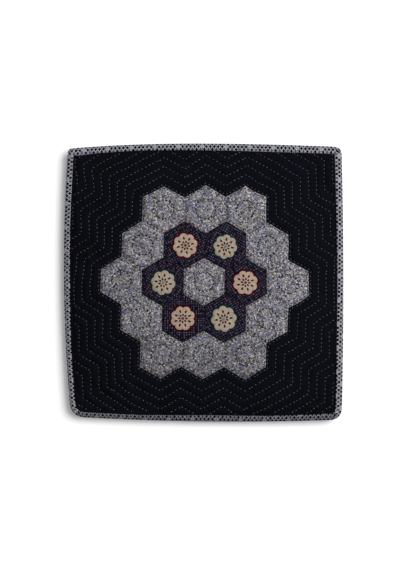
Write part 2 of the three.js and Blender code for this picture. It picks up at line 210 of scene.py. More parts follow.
# Rings of points: on the rim and round the petals' edge, how far each lies outside the edge and its rise
# in thicknesses; inside, shares of the way from the middle.
RIM_RINGS = ((0, -0.2), (-0.2, 0.7))
PETAL_RINGS = ((0.35, 1), (0, 0.9), (-0.3, 1.2), (-0.8, 1.4))
INNER_RINGS = (0.93, 0.86, 0.79, 0.72, 0.64, 0.56, 0.47, 0.38, 0.29, 0.2, 0.1)
# Printed seeds in two rings. offset is a ring's turn in shares of the way from one seed to the next.
SEEDS = (
    dict(offset=0, radius=11.6, long=5.5, wide=3.1),
    dict(offset=0.5, radius=5.7, long=4.4, wide=3.0),
)
SEED_RISE = 0.25
HEART_SIZE = 4.8
HEART_RISE = 0.35
# Rings of a seed or heart: share of its size and share of its rise.
LENS_RINGS = ((1, -0.4), (0.94, 0.5), (0.6, 0.9))
# One on each check patch, counterclockwise from the right: rim colour, turn in degrees, how far its
# middle lies off the patch's middle, and how large it is beside the others.
FLOWERS = (
    dict(rim="red", turn=18, x=-0.3, y=-0.9, size=1.0),
    dict(rim="teal", turn=37, x=-0.2, y=-1.8, size=0.98),
    dict(rim="red", turn=13, x=1.0, y=-0.5, size=1.0),
    dict(rim="teal", turn=35, x=0, y=-1.4, size=1.0),
    dict(rim="red", turn=21, x=-0.2, y=0.2, size=0.99),
    dict(rim="teal", turn=8, x=-0.9, y=-0.3, size=1.035),
)

# Prints, in millimetres on the cloth.
THREAD_WAVER = 0.6
LEAF_SIZE, BUD_SIZE, SPECK_SIZE = 1.7, 5.5, 3.1
# A patch's print is turned to one of six ways, give or take SKEW degrees, and cut from anywhere on REPEAT.
PRINT_SKEW = 6
PRINT_REPEAT = 900
# Painted shade: how much darker the lowest row of grey patches is drawn, as light falls off towards the
# bottom.
LOWEST_ROW_PAINTED_SHADE = 0.2
CHECK_PITCH = 3.8
CHECK_WAVER = 2.6
# How strongly a dash of the check shows by itself, and where two cross.
CHECK_SINGLE = 0.13
CHECK_CROSSED = 1.3
DOT_PITCH = 6.3
DOT_ROWS = 4.55
DOT_RADIUS, DOT_BLUR = 2.25, 0.15
RING_RADIUS, RING_BLUR = 2.65, 0.5
DOT_GROUP = 6
# Each side's print starts this many groups after that of the side before it.
SIDE_GROUPS = 18
# Painted shade: the bottom side's strip is drawn darker, as that side rolls away from the light.
BOTTOM_STRIP_PAINTED_SHADE = 0.42

# Fineness of the meshes.
FRONT_CELLS = 270
BACK_CELLS = FRONT_CELLS // 2
DENSE_STEPS = 200
CORNER_STEPS = 12
PATCH_SIDE_STEPS = 20
FLOWER_STEPS = 128
BINDING_CELLS = 300
CIRCLE_STEPS = 120
LINE_STEP = 0.5
# Insets of a patch's rings of points, closer near its turned-under edge.
PATCH_INSETS = (0, 0.25, 0.7, 1.4, 2.3, 3.2, *np.arange(4.4, 33, 1.3))

# The picture: 400 by 570 pixels, the cover's own scale, and where the cover's middle lies in it.
PICTURE = (400, 570)
MM_PER_PIXEL = 1.607
COVER_MIDDLE_PIXEL = (203.7, 282.56)
CAMERA_HEIGHT = 3500
SENSOR_WIDTH = 36
CAMERA_REACH = 20
# Floor, in metres: how far it reaches, and how far below the part it lies.
FLOOR_REACH = 4.0
FLOOR_DROP = 0.0002
# The paper glows a little, as the photograph's ground is bright all over.
PAPER_GLOW = 0.155
KEY_LAMP = dict(azimuth=28, elevation=56, distance=5.0, size=3.4, power=272)
ROOM_LIGHT = 0.26


# Outline and heights. Points are arrays of x and y.

def unit(v):
    return v / np.linalg.norm(v, axis=-1, keepdims=True)


def ways(angles):
    """Points of the unit circle."""
    return np.stack([np.cos(angles), np.sin(angles)], axis=-1)


def outward(start, end):
    way = unit(end - start)
    return np.stack([way[..., 1], -way[..., 0]], axis=-1)


def miters(points):
    """The way each corner of a closed outline moves when its sides move out by one."""
    normal = outward(points, np.roll(points, -1, axis=0))
    earlier = np.roll(normal, 1, axis=0)
    return (earlier + normal) / (1 + (earlier * normal).sum(axis=1, keepdims=True))


CORNER_POINTS = np.array([(c["x"], c["y"]) for c in CORNERS], float)


def bulge(corner, f):
    """How far the side that starts at a corner stands out at a share of the way along it."""
    return 4 * corner["bow"] * f * (1 - f) * (1 + corner["lean"] * (2 * f - 1))


def corners_at(inset):
    return CORNER_POINTS - inset * miters(CORNER_POINTS)


def edge_ring(inset):
    """A dense closed ring along the cover's edge, and the index where each corner's curve is halfway."""
    corners = corners_at(inset)
    sides = []
    for i, corner in enumerate(CORNERS):
        start, end = corners[i], corners[(i + 1) % 4]
        length = np.linalg.norm(end - start)
        trims = [
            max(c["rounding"] - inset, LEAST_ROUNDING) / length for c in (corner, CORNERS[(i + 1) % 4])
        ]
        f = np.linspace(trims[0], 1 - trims[1], DENSE_STEPS)[:, None]
        sides.append(start + (end - start) * f + outward(start, end) * bulge(corner, f))
    ring, halfway = [], []
    for i, side in enumerate(sides):
        following = sides[(i + 1) % 4]
        a, u = side[-1], side[-1] - side[-2]
        b, v = following[0], following[1] - following[0]
        gap = b - a
        control = a + u * (gap[0] * v[1] - gap[1] * v[0]) / (u[0] * v[1] - u[1] * v[0])
        t = np.linspace(0, 1, CORNER_STEPS + 1)[1:-1, None]
        ring.append(side)
        ring.append((1 - t) ** 2 * a + 2 * t * (1 - t) * control + t ** 2 * b)
        halfway.append(sum(len(p) for p in ring) - CORNER_STEPS // 2)
    return np.concatenate(ring), halfway


def walked(line):
    """Distance along an open line at each of its points."""
    return np.concatenate([[0], np.cumsum(np.linalg.norm(np.diff(line, axis=0), axis=1))])


def points_at(line, distances):
    so_far = walked(line)
    return np.stack([np.interp(distances, so_far, line[:, k]) for k in (0, 1)], axis=1)


def spaced(line, count):
    """count + 1 points at even distances along an open line."""
    return points_at(line, np.linspace(0, walked(line)[-1], count + 1))


def edge_sides(inset, count):
    """The bottom, right, top and left sides from the middle of one corner's curve to the next."""
    ring, halfway = edge_ring(inset)
    ring = np.roll(ring, -halfway[3], axis=0)
    cuts = [0] + [h - halfway[3] + len(ring) for h in halfway[:3]] + [len(ring)]
    closed = np.concatenate([ring, ring[:1]])
    return [spaced(closed[cuts[i]:cuts[i + 1] + 1], count) for i in range(4)]


def grid_inside(inset, cells):
    """A square grid of points that fills the outline moved in by inset."""
    bottom, right, top, left = edge_sides(inset, cells)
    top, left = top[::-1], left[::-1]
    s = np.linspace(0, 1, cells + 1)[None, :, None]
    t = s.transpose(1, 0, 2)
    from_sides = (1 - t) * bottom[None] + t * top[None] + (1 - s) * left[:, None] + s * right[:, None]
    from_corners = (
        (1 - s) * (1 - t) * bottom[0] + s * (1 - t) * bottom[-1]
        + (1 - s) * t * top[0] + s * t * top[-1]
    )
    return from_sides - from_corners


OPENING = corners_at(OPENING_INSET)


def across_opening(x, y):
    """Place across the opening inside the binding, -1 to 1 each way, and the distance to its edge."""
    bl, br, tr, tl = OPENING
    bottom, right, top, left = CORNERS

    def share(value, start, end):
        return np.clip((value - start) / (end - start), 0, 1)

    up_left, up_right = share(y, bl[1], tl[1]), share(y, br[1], tr[1])
    over_bottom, over_top = share(x, bl[0], br[0]), share(x, tl[0], tr[0])
    x_low = bl[0] + (tl[0] - bl[0]) * up_left - bulge(left, 1 - up_left)
    x_high = br[0] + (tr[0] - br[0]) * up_right + bulge(right, up_right)
    y_low = bl[1] + (br[1] - bl[1]) * over_bottom - bulge(bottom, over_bottom)
    y_high = tl[1] + (tr[1] - tl[1]) * over_top + bulge(top, 1 - over_top)
    to_edge = np.minimum(np.minimum(x - x_low, x_high - x), np.minimum(y - y_low, y_high - y))
    across_x, across_y = (
        (2 * at - low - high) / (high - low) for at, low, high in ((x, x_low, x_high), (y, y_low, y_high))
    )
    return across_x, across_y, to_edge


def seam_height(x, y):
    turn = 2 * math.pi / COVER_SIDE
    return SEAM_HEIGHT + sum(
        w["rise"] * np.sin(turn * (w["along_x"] * x + w["along_y"] * y) + w["start"]) for w in SEAM_WAVES
    )


def crown(across_x, across_y):
    fall_x = np.clip(1 - np.abs(across_x) ** CROWN_POWER, 0, 1)
    fall_y = np.clip(1 - np.abs(across_y) ** CROWN_POWER, 0, 1)
    return fall_x * fall_y


def uneven(x, y, length, seed, waves=7):
    """Smooth unevenness from a few waves that run every way, about -1 to 1."""
    draw = np.random.default_rng([SEED, seed])
    total = 0
    for way, start, stretch in zip(
        draw.uniform(0, math.pi, waves), draw.uniform(0, 2 * math.pi, waves), draw.uniform(0.7, 1.4, waves)
    ):
        turn = 2 * math.pi / (length * stretch)
        total = total + np.sin(turn * (math.cos(way) * x + math.sin(way) * y) + start)
    return total / math.sqrt(waves / 2)


# Rosette. It is worked out upright and even, then slanted and moved to where the sewing strays.

def stray(x, y):
    """How far the sewing lies from its regular place."""
    pull_x = pull_y = 0
    held = STRAY_HOLD
    for at_x, at_y, off_x, off_y in STRAYS:
        share = np.exp(-((x - at_x) ** 2 + (y - at_y) ** 2) / STRAY_REACH ** 2)
        pull_x = pull_x + share * off_x
        pull_y = pull_y + share * off_y
        held = held + share
    return pull_x / held, pull_y / held


def to_rosette(x, y):
    off_x, off_y = stray(x, y)
    for _ in range(4):
        off_x, off_y = stray(x - off_x, y - off_y)
    v = y - off_y - ROSETTE_Y
    return x - off_x - ROSETTE_X - ROSETTE_LEAN * v, v


def from_rosette(points):
    points = np.asarray(points, float)
    x = ROSETTE_X + points[..., 0] + ROSETTE_LEAN * points[..., 1]
    y = ROSETTE_Y + points[..., 1]
    off_x, off_y = stray(x, y)
    return np.stack([x + off_x, y + off_y], axis=-1)


PATCH_CENTRES = np.array([
    ((i - (count - 1) / 2) * 2 * HEXAGON_HALF, (row - (len(ROSETTE_ROWS) - 1) / 2) * 1.5 * HEXAGON_SIDE)
    for row, count in enumerate(ROSETTE_ROWS)
    for i in range(count)
])


def hexagon(centre, side=HEXAGON_SIDE):
    return centre + side * ways(np.pi * (1 / 6 + np.arange(6) / 3))


CENTRE_PATCH = len(PATCH_CENTRES) // 2
FROM_CENTRE = np.linalg.norm(PATCH_CENTRES - PATCH_CENTRES[CENTRE_PATCH], axis=1)
CHECK_PATCHES = [i for i, far in enumerate(FROM_CENTRE) if 0 < far < 2.5 * HEXAGON_HALF]
GREY_PATCHES = [i for i in range(len(PATCH_CENTRES)) if i not in CHECK_PATCHES]


def rosette_outline():
    """The patch edges that no other patch shares, chained counterclockwise."""
    def key(p):
        return round(float(p[0]), 1), round(float(p[1]), 1)

    edges = {}
    for centre in PATCH_CENTRES:
        corners = hexagon(centre)
        for start, end in zip(corners, np.roll(corners, -1, axis=0)):
            edges[key(start), key(end)] = start, end
    outer = {a: (start, b) for (a, b), (start, end) in edges.items() if (b, a) not in edges}
    first = at = next(iter(outer))
    outline = []
    while not outline or at != first:
        start, at = outer[at]
        outline.append(start)
    return np.array(outline)


OUTLINE = rosette_outline()
OUTLINE_MITERS = miters(OUTLINE)


def echo_line(distance):
    return OUTLINE + distance * OUTLINE_MITERS


def echo_distance(u, v):
    """How far out a place lies in the echo lines' own measure, and -1 inside the rosette."""
    found = np.full(np.shape(u), -1.0)
    for i, start in enumerate(OUTLINE):
        end = OUTLINE[(i + 1) % len(OUTLINE)]
        normal, way = outward(start, end), unit(end - start)
        dx, dy = u - start[0], v - start[1]
        distance = dx * normal[0] + dy * normal[1]
        walked = dx * way[0] + dy * way[1]
        low = distance * float(OUTLINE_MITERS[i] @ way)
        high = np.linalg.norm(end - start) + distance * float(OUTLINE_MITERS[(i + 1) % len(OUTLINE)] @ way)
        inside = (distance > 0) & (walked >= low) & (walked <= high)
        found = np.where(inside & (found < 0), distance, found)
    return found


def in_patch(u, v):
    """Distance from the nearest patch's middle and its nearest side, and the circle sewn on that patch."""
    gaps = [(u - cx, v - cy) for cx, cy in PATCH_CENTRES]
    far = [np.hypot(dx, dy) for dx, dy in gaps]
    radius, which = np.min(far, axis=0), np.argmin(far, axis=0)
    dx, dy = (np.choose(which, offsets) for offsets in zip(*gaps))
    reach = [np.abs(dx * math.cos(a) + dy * math.sin(a)) for a in (0, math.pi / 3, 2 * math.pi / 3)]
    circle = np.where(np.isin(which, CHECK_PATCHES), FLOWER_CIRCLE, PATCH_CIRCLE)
    return radius, HEXAGON_HALF - np.max(reach, axis=0), circle


def groove(distance):
    """How far a line of stitches pulls the cloth down."""
    return GROOVE_DEPTH * np.exp(-(distance / GROOVE_HALF) ** 2)


def echo_relief(distance):
    phase = ((distance - FIRST_ECHO) / ECHO_SPACING) % 1
    puffed = ECHO_RISE * (1 - np.abs(2 * phase - 1) ** ECHO_FULLNESS)
    return np.where(distance < FIRST_ECHO, 0, puffed)


def patch_relief(radius, to_side, circle):
    to_side = np.maximum(to_side, 0)
    domed = CIRCLE_RISE + (PATCH_RISE - CIRCLE_RISE) * (1 - (radius / circle) ** 2)
    beyond = np.maximum(radius - circle, 0)
    share = to_side / np.maximum(to_side + beyond, 1e-6)
    ringed = CIRCLE_RISE * share + PATCH_RISE * 4 * share * (1 - share)
    puffed = np.where(radius < circle, domed, ringed)
    return puffed - groove(radius - circle) - groove(to_side - PATCH_LINE)


def fold_depth(x, y):
    depth = 0
    for start, end, half, deepest in FOLDS:
        run = np.subtract(end, start).astype(float)
        dx, dy = x - start[0], y - start[1]
        share = np.clip((dx * run[0] + dy * run[1]) / (run @ run), 0, 1)
        away = np.hypot(dx - share * run[0], dy - share * run[1]) / half
        depth = depth + deepest * np.exp(-away ** 2)
    return depth


def smooth(value, start, end):
    t = np.clip((value - start) / (end - start), 0, 1)
    return t * t * (3 - 2 * t)


def front_height(x, y):
    """The quilted front, without the thickness of the patches."""
    across_x, across_y, to_edge = across_opening(x, y)
    u, v = to_rosette(x, y)
    distance = echo_distance(u, v)
    relief = np.where(distance < 0, patch_relief(*in_patch(u, v)), echo_relief(distance))
    relief = relief * (1 + UNEVEN_SHARE * uneven(x, y, UNEVEN_LENGTH, 0))
    pulled = sum(p["rise"] * uneven(x, y, p["length"], i + 1) for i, p in enumerate(PUCKERS))
    raised = smooth(to_edge, 0, RELIEF_FADE) * (relief + pulled - fold_depth(x, y))
    return seam_height(x, y) + EDGE_HALF + FRONT_CROWN * crown(across_x, across_y) + raised


def back_height(x, y):
    """The plain back, flat where it rests."""
    across_x, across_y, _ = across_opening(x, y)
    free = seam_height(x, y) - EDGE_HALF - BACK_CROWN * crown(across_x, across_y)
    soft = (np.maximum(free + REST_SOFTNESS, 0)) ** 2 / (4 * REST_SOFTNESS)
    return np.where(free >= REST_SOFTNESS, free, soft)


def patch_top(x, y):
    """The top of the patches, whose turned-under edges are round."""
    _, to_side, _ = in_patch(*to_rosette(x, y))
    tucked = np.clip(1 - to_side / PATCH_TUCK, 0, 1)
    return front_height(x, y) + PATCH_THICKNESS * np.sqrt(1 - tucked ** 2)


# Meshes.

def placed_object(name, data):
    made = bpy.data.objects.new(name, data)
    bpy.context.scene.collection.objects.link(made)
    return made


# A single ray can slip between two faces, so the highest hit of a few close together counts.
RAY_SHIFTS = ((0, 0), (0.04, 0.03), (-0.04, 0.02))


def surface_of(made):
    """A function that gives the height of a piece's top at each place."""
    mesh = made.data
    tree = BVHTree.FromPolygons([v.co for v in mesh.vertices], [p.vertices for p in mesh.polygons])
    down = Vector((0, 0, -1))

    def top_at(x, y):
        starts = [Vector(((x + dx) * MM, (y + dy) * MM, 1)) for dx, dy in RAY_SHIFTS]
        hits = [tree.ray_cast(start, down)[0] for start in starts]
        return max(hit.z for hit in hits if hit) / MM

    def height(x, y):
        found = [top_at(px, py) for px, py in zip(np.ravel(x), np.ravel(y))]
        return np.array(found).reshape(np.shape(x))

    return height


def piece(name, points, faces, materials, slot, cloth=None, face_cloth=None, face_materials=None):
    """Makes one mesh piece from points in millimetres.

    cloth is the place of each point on its cloth, and face_cloth that of each corner of each face.
    """
    mesh = bpy.data.meshes.new(name)
    mesh.from_pydata((np.asarray(points, float) * MM).tolist(), [], faces)
    mesh.shade_smooth()
    for material in materials:
        mesh.materials.append(material)
    if face_materials is not None:
        mesh.polygons.foreach_set("material_index", np.asarray(face_materials, np.int32))
    if cloth is not None:
        corner_points = np.zeros(len(mesh.loops), np.int32)
        mesh.loops.foreach_get("vertex_index", corner_points)
        face_cloth = np.asarray(cloth)[corner_points]
    if face_cloth is not None:
        layer = mesh.uv_layers.new(name="cloth")
        layer.data.foreach_set("uv", np.asarray(face_cloth, np.float32).ravel())
    mesh.validate()
    made = placed_object(name, mesh)
    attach(made, "root")
    return made


def grid_faces(cells, first=0, turned=False):
    start = np.arange(cells)[None, :] + (cells + 1) * np.arange(cells)[:, None] + first
    faces = np.stack([start, start + 1, start + cells + 2, start + cells + 1], axis=-1).reshape(-1, 4)
    return (faces[:, ::-1] if turned else faces).tolist()


def grid_rim(cells, first=0):
    """The indices round a grid, counterclockwise from its bottom left corner."""
    index = np.arange((cells + 1) ** 2).reshape(cells + 1, cells + 1) + first
    return np.concatenate([index[0, :-1], index[:-1, -1], index[-1, :0:-1], index[:0:-1, 0]])


def band(first, second):
    """Faces between two closed rings of the same number of points; the first is inside."""
    return np.stack([first, second, np.roll(second, -1), np.roll(first, -1)], axis=1).tolist()


def halving_band(fine, coarse):
    """Faces between a ring and one with half its points."""
    after = np.roll(coarse, -1)
    left, middle, right = fine[::2], fine[1::2], np.roll(fine[::2], -1)
    sides = [(coarse, left, middle), (coarse, middle, after), (after, middle, right)]
    return [face for three in sides for face in np.stack(three, axis=1).tolist()]


def ring_at(inset, cells):
    return np.concatenate([side[:-1] for side in edge_sides(inset, cells)])


def cushion():
    """Quilted front, plain back and the thin edge under the binding, as one closed form."""
    front = grid_inside(OPENING_INSET, FRONT_CELLS).reshape(-1, 2)
    back = grid_inside(OPENING_INSET, BACK_CELLS).reshape(-1, 2)
    flange = ring_at(FLANGE_INSET, FRONT_CELLS)
    seam = seam_height(flange[:, 0], flange[:, 1])
    back_start = len(front) + 2 * len(flange)
    points = np.concatenate([
        np.column_stack([front, front_height(*front.T)]),
        np.column_stack([flange, seam + EDGE_HALF]),
        np.column_stack([flange, seam - EDGE_HALF]),
        np.column_stack([back, back_height(*back.T)]),
    ])
    top = np.arange(len(flange)) + len(front)
    bottom = top + len(flange)
    faces = grid_faces(FRONT_CELLS)
    faces += band(grid_rim(FRONT_CELLS), top)
    faces += band(top, bottom)
    faces += halving_band(bottom, grid_rim(BACK_CELLS, back_start))
    faces += grid_faces(BACK_CELLS, back_start, turned=True)
    made = piece("quilted_cushion", points, faces, [NAVY_COTTON], "navy_cotton", cloth=points[:, :2])
    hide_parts("cushion_body")
    return made


def disc(rings, heights, centre, centre_height, depth):
    """A closed thin disc: rings of points from the outside in, and a middle point."""
    count, around = len(rings), len(rings[0])
    flat = np.concatenate([*rings, [centre], rings[0], [centre]])
    tall = np.concatenate([*heights, [centre_height], heights[0] - depth, [centre_height - depth]])
    order = np.arange(around)
    faces = []
    for i in range(count - 1):
        faces += band((i + 1) * around + order, i * around + order)
    middle = count * around
    inner = (count - 1) * around + order
    faces += np.stack([inner, np.roll(inner, -1), np.full(around, middle)], axis=1).tolist()
    under = middle + 1 + order
    faces += np.stack([order, under, np.roll(under, -1), np.roll(order, -1)], axis=1).tolist()
    faces += np.stack([np.roll(under, -1), under, np.full(around, under[-1] + 1)], axis=1).tolist()
    return np.column_stack([flat, tall]), faces


def joined(parts):
    """Joins parts, each given as points and faces."""
    points, faces, start = [], [], 0
    for part_points, part_faces in parts:
        faces += [[i + start for i in face] for face in part_faces]
        points.append(part_points)
        start += len(part_points)
    return np.concatenate(points), faces


def patch(centre, seed):
    """One hexagon patch, a little puffed, with its grain and place on the print's repeat."""
    rings = []
    for inset in PATCH_INSETS:
        corners = hexagon(centre, HEXAGON_SIDE * (1 - inset / HEXAGON_HALF))
        closed = np.concatenate([corners, corners[:1]])
        sides = [spaced(closed[i:i + 2], PATCH_SIDE_STEPS)[:-1] for i in range(6)]
        rings.append(np.concatenate(sides))
    placed = [from_rosette(ring) for ring in rings]
    heights = [patch_top(*ring.T) for ring in placed]
    middle = from_rosette(centre)
    points, faces = disc(placed, heights, middle, patch_top(*middle[:, None])[0], PATCH_DEPTH)
    draw = np.random.default_rng([SEED, 100 + seed])
    turn = draw.choice([0, 60, 120, 180, 240, 300]) + draw.uniform(-PRINT_SKEW, PRINT_SKEW)
    cos, sin = math.cos(math.radians(turn)), math.sin(math.radians(turn))
    local = points[:, :2] - middle
    shift = draw.uniform(0, PRINT_REPEAT, 2)
    cloth = np.column_stack([local @ [cos, -sin], local @ [sin, cos]]) + shift
    return points, faces, cloth


def patches(name, which, material, slot):
    made = [patch(PATCH_CENTRES[i], i) for i in which]
    points, faces = joined([m[:2] for m in made])
    cloth = np.concatenate([m[2] for m in made])
    result = piece(name, points, faces, [material], slot, cloth=cloth)
    return result


def petal_edge(angles, extra=0.0):
    """Radius of a ring of round petals at each angle."""
    radius = PETAL_RADIUS + extra
    from_middle = (angles + math.pi / PETALS) % (2 * math.pi / PETALS) - math.pi / PETALS
    beside, along = PETAL_REACH * np.sin(from_middle), PETAL_REACH * np.cos(from_middle)
    return along + np.sqrt(radius ** 2 - beside ** 2)


def flower(centre, turn, size, rim_width, height):
    """A flower of round petals with a dark rim, laid on a surface."""
    angles = np.arange(FLOWER_STEPS) * 2 * math.pi / FLOWER_STEPS
    rim = size * petal_edge(angles, rim_width)
    petal = size * petal_edge(angles)
    radii = [rim + out for out, _ in RIM_RINGS] + [petal + out for out, _ in PETAL_RINGS]
    radii += [radii[-1] * share for share in INNER_RINGS]
    lifts = [lift for _, lift in RIM_RINGS + PETAL_RINGS]
    lifts += lifts[-1:] * len(INNER_RINGS)
    around = ways(angles + math.radians(turn))
    placed = [from_rosette(centre + around * r[:, None]) for r in radii]
    heights = [height(*ring.T) + lift * FLOWER_THICKNESS for ring, lift in zip(placed, lifts)]
    middle = from_rosette(centre)
    top = height(*middle) + lifts[-1] * FLOWER_THICKNESS
    points, faces = disc(placed, heights, middle, top, FLOWER_DEPTH)
    # The rim's material takes the faces outside the petals, the wall and the underside.
    zones = np.ones(len(faces))
    zones[:(len(RIM_RINGS) + 1) * FLOWER_STEPS] = 0
    zones[-2 * FLOWER_STEPS:] = 0
    shares = np.concatenate([*[r / petal for r in radii], [0], rim / petal, [0]])
    return points, faces, np.column_stack([shares, np.zeros(len(shares))]), zones


def lens(centre, angle, long, wide, rise, height, sides=12):
    """A small raised oval laid on a surface."""
    around = np.arange(sides) * 2 * math.pi / sides
    cos, sin = math.cos(angle), math.sin(angle)
    rings, heights = [], []
    for share, lift in LENS_RINGS:
        x, y = long / 2 * share * np.cos(around), wide / 2 * share * np.sin(around)
        ring = centre + np.stack([x * cos - y * sin, x * sin + y * cos], axis=1)
        rings.append(from_rosette(ring))
        heights.append(height(*rings[-1].T) + lift * rise)
    middle = from_rosette(centre)
    return disc(rings, heights, middle, height(*middle) + rise, rise)


def check_centres():
    """Middles of the check patches, counterclockwise from the right."""
    centres = PATCH_CENTRES[CHECK_PATCHES]
    order = np.argsort(np.arctan2(centres[:, 1], centres[:, 0]) % (2 * math.pi))
    return centres[order]


def flowers(check):
    ground = surface_of(check)
    rows = [(centre + [row["x"], row["y"]], row) for centre, row in zip(check_centres(), FLOWERS)]
    for rim in ("red", "teal"):
        of_rim = [(centre, row["turn"], row["size"]) for centre, row in rows if row["rim"] == rim]
        made = [flower(centre, turn, size, RIM_WIDTH[rim], ground) for centre, turn, size in of_rim]
        points, faces = joined([m[:2] for m in made])
        heads = piece(
            f"{rim}_rimmed_flowers", points, faces, [RIM_COTTON[rim], PETAL_COTTON[rim]], "flower_cotton",
            cloth=np.concatenate([m[2] for m in made]), face_materials=np.concatenate([m[3] for m in made]),
        )
        petals = surface_of(heads)
        seeds, hearts = [], []
        for centre, turn, _ in of_rim:
            for ring in SEEDS:
                for k in range(PETALS):
                    angle = math.radians(turn) + 2 * math.pi * (k + ring["offset"]) / PETALS
                    at = centre + ring["radius"] * ways(angle)
                    seeds.append(lens(at, angle, ring["long"], ring["wide"], SEED_RISE, petals))
            hearts.append(lens(centre, 0, HEART_SIZE, HEART_SIZE, HEART_RISE, petals, sides=16))
        piece(f"{rim}_flower_seeds", *joined(seeds), [SEED_INK], "flower_cotton")
        piece(f"{rim}_flower_hearts", *joined(hearts), [HEART_COTTON[rim]], "flower_cotton")


def stitch_run(line, stitch, seed):
    """Starts and ends of running stitches along a closed line of points."""
    line = np.concatenate([line, line[:1]])
    length = walked(line)[-1]
    draw = np.random.default_rng([SEED, 300 + seed])
    uneven_by = UNEVEN_SEWING
    count = max(1, round(length / stitch["pitch"]))
    at = (np.arange(count) + 0.5 + draw.normal(0, uneven_by["pitch"], count)) * length / count
    half = stitch["length"] / 2 * draw.uniform(uneven_by["shortest"], uneven_by["longest"], count)
    start, end = points_at(line, at - half), points_at(line, at + half)
    wander = draw.normal(0, uneven_by["wander"], (count, 2))
    return start + wander, end + wander + draw.normal(0, uneven_by["slant"], (count, 2))


def stitch_mesh(name, starts, ends, thread, height, material):
    """All stitches of one kind as one mesh: short rounded lengths of thread whose ends dip into the cloth.

    thread is the thickness of each.
    """
    t, thick, dip = np.array(STITCH_PROFILE).T
    thick = np.multiply.outer(thread, thick) / 2
    sides = STITCH_SIDES
    around = (np.arange(sides) + 0.5) * 2 * math.pi / sides
    middles = (starts + ends) / 2
    halves = (ends - starts) / 2
    across = unit(np.stack([-halves[:, 1], halves[:, 0]], axis=1))
    line = middles[:, None] + halves[:, None] * t[None, :, None]
    base = height(line[..., 0], line[..., 1]) + dip
    spread = thick[:, :, None] * np.cos(around)
    flat = line[:, :, None] + across[:, None, None] * spread[..., None]
    tall = base[:, :, None] + thick[:, :, None] * np.sin(around) * STITCH_FLATTENED
    points = np.concatenate([flat, tall[..., None]], axis=-1).reshape(-1, 3)
    rings = [i * sides + np.arange(sides) for i in range(len(t))]
    tube = np.concatenate([
        np.stack([a, np.roll(a, -1), np.roll(b, -1), b], axis=1) for a, b in zip(rings[:-1], rings[1:])
    ])
    caps = np.array([rings[0][::-1], rings[-1]])
    first = np.arange(len(starts))[:, None, None] * sides * len(t)
    faces = [(kind + first).reshape(-1, kind.shape[1]).tolist() for kind in (tube, caps)]
    return piece(name, points, faces[0] + faces[1], [material], "sewing_thread")


def inside_binding(starts, ends):
    clear = [across_opening(*p.T)[2] > STITCH_CLEAR_OF_BINDING for p in (starts, ends)]
    keep = clear[0] & clear[1]
    return starts[keep], ends[keep]


def stepped_line(corners):
    """A closed line through corners with points every LINE_STEP."""
    return np.concatenate([
        spaced(np.array([a, b]), max(1, round(np.linalg.norm(b - a) / LINE_STEP)))[:-1]
        for a, b in zip(corners, np.roll(corners, -1, axis=0))
    ])


def sewn(name, runs, made, material):
    """One mesh of all the runs, each a line's stitches with their kind, on a piece."""
    starts, ends = (np.concatenate([run[k] for run, _ in runs]) for k in (0, 1))
    thread = [kind["thread"] for run, kind in runs for _ in run[0]]
    stitch_mesh(name, starts, ends, thread, surface_of(made), material)


def stitches(cushion_piece, grey_piece, check_piece):
    runs = []
    for i, distance in enumerate(np.arange(FIRST_ECHO, LAST_ECHO, ECHO_SPACING)):
        line = from_rosette(stepped_line(echo_line(distance)))
        runs.append((inside_binding(*stitch_run(line, ECHO_STITCH, i)), ECHO_STITCH))
    sewn("echo_stitches", runs, cushion_piece, PALE_THREAD)
    circle = PATCH_CIRCLE * ways(np.linspace(0, 2 * math.pi, CIRCLE_STEPS, endpoint=False))
    for kind, which, made in (("grey", GREY_PATCHES, grey_piece), ("check", CHECK_PATCHES, check_piece)):
        runs = []
        for i in which:
            inner = hexagon(PATCH_CENTRES[i], HEXAGON_SIDE * (1 - PATCH_LINE / HEXAGON_HALF))
            runs.append((stitch_run(from_rosette(stepped_line(inner)), PATCH_STITCH, 50 + i), PATCH_STITCH))
            if i in GREY_PATCHES:
                run = stitch_run(from_rosette(PATCH_CENTRES[i] + circle), CIRCLE_STITCH, 80 + i)
                runs.append((run, CIRCLE_STITCH))
        sewn(f"{kind}_patch_stitches", runs, made, DARK_THREAD)


def binding_section():
    """The folded strip across the edge, and the cavity in it: inset from the outer edge, and height."""
    inside = EDGE_HALF + GAP
    front = [(inset, inside + rise) for inset, rise in BINDING_FRONT]
    folded = front + [(0, 0)] + [(inset, -rise) for inset, rise in reversed(front)]
    cavity = [
        (BINDING_WIDTH, -inside), (BINDING_WALL, -inside), (BINDING_WALL, inside), (BINDING_WIDTH, inside),
    ]
    return folded, cavity


def side_lines():
    """Start and direction of each side's straight line, counterclockwise from the bottom."""
    ends = np.roll(CORNER_POINTS, -1, axis=0)
    return [(start, unit(end - start)) for start, end in zip(CORNER_POINTS, ends)]


def lap_share(x, y):
    """How far a place lies under the top strip's end, which laps over the left strip: 1 to 0."""
    start, way = side_lines()[2]
    normal = np.array([way[1], -way[0]])
    inward = -((x - start[0]) * normal[0] + (y - start[1]) * normal[1])
    return smooth(LAP_DEPTH + LAP_STEP - inward, 0, LAP_STEP) * (x < CORNER_POINTS[3][0] + LAP_DEPTH)


def print_place(side, along, inset):
    """Place on the print's repeat, where all-black dots start a group at 1, along a side's strip."""
    lay = PRINT_LAY[side]
    length = np.linalg.norm(CORNER_POINTS[(side + 1) % 4] - CORNER_POINTS[side])
    row = np.interp(along / length, np.linspace(0, 1, len(lay["rows"])), lay["rows"])
    dots = (along - lay["start"]) / lay["pitch"] + 1 + SIDE_GROUPS * DOT_GROUP * side
    return np.stack([dots * DOT_PITCH, row - inset], axis=-1)


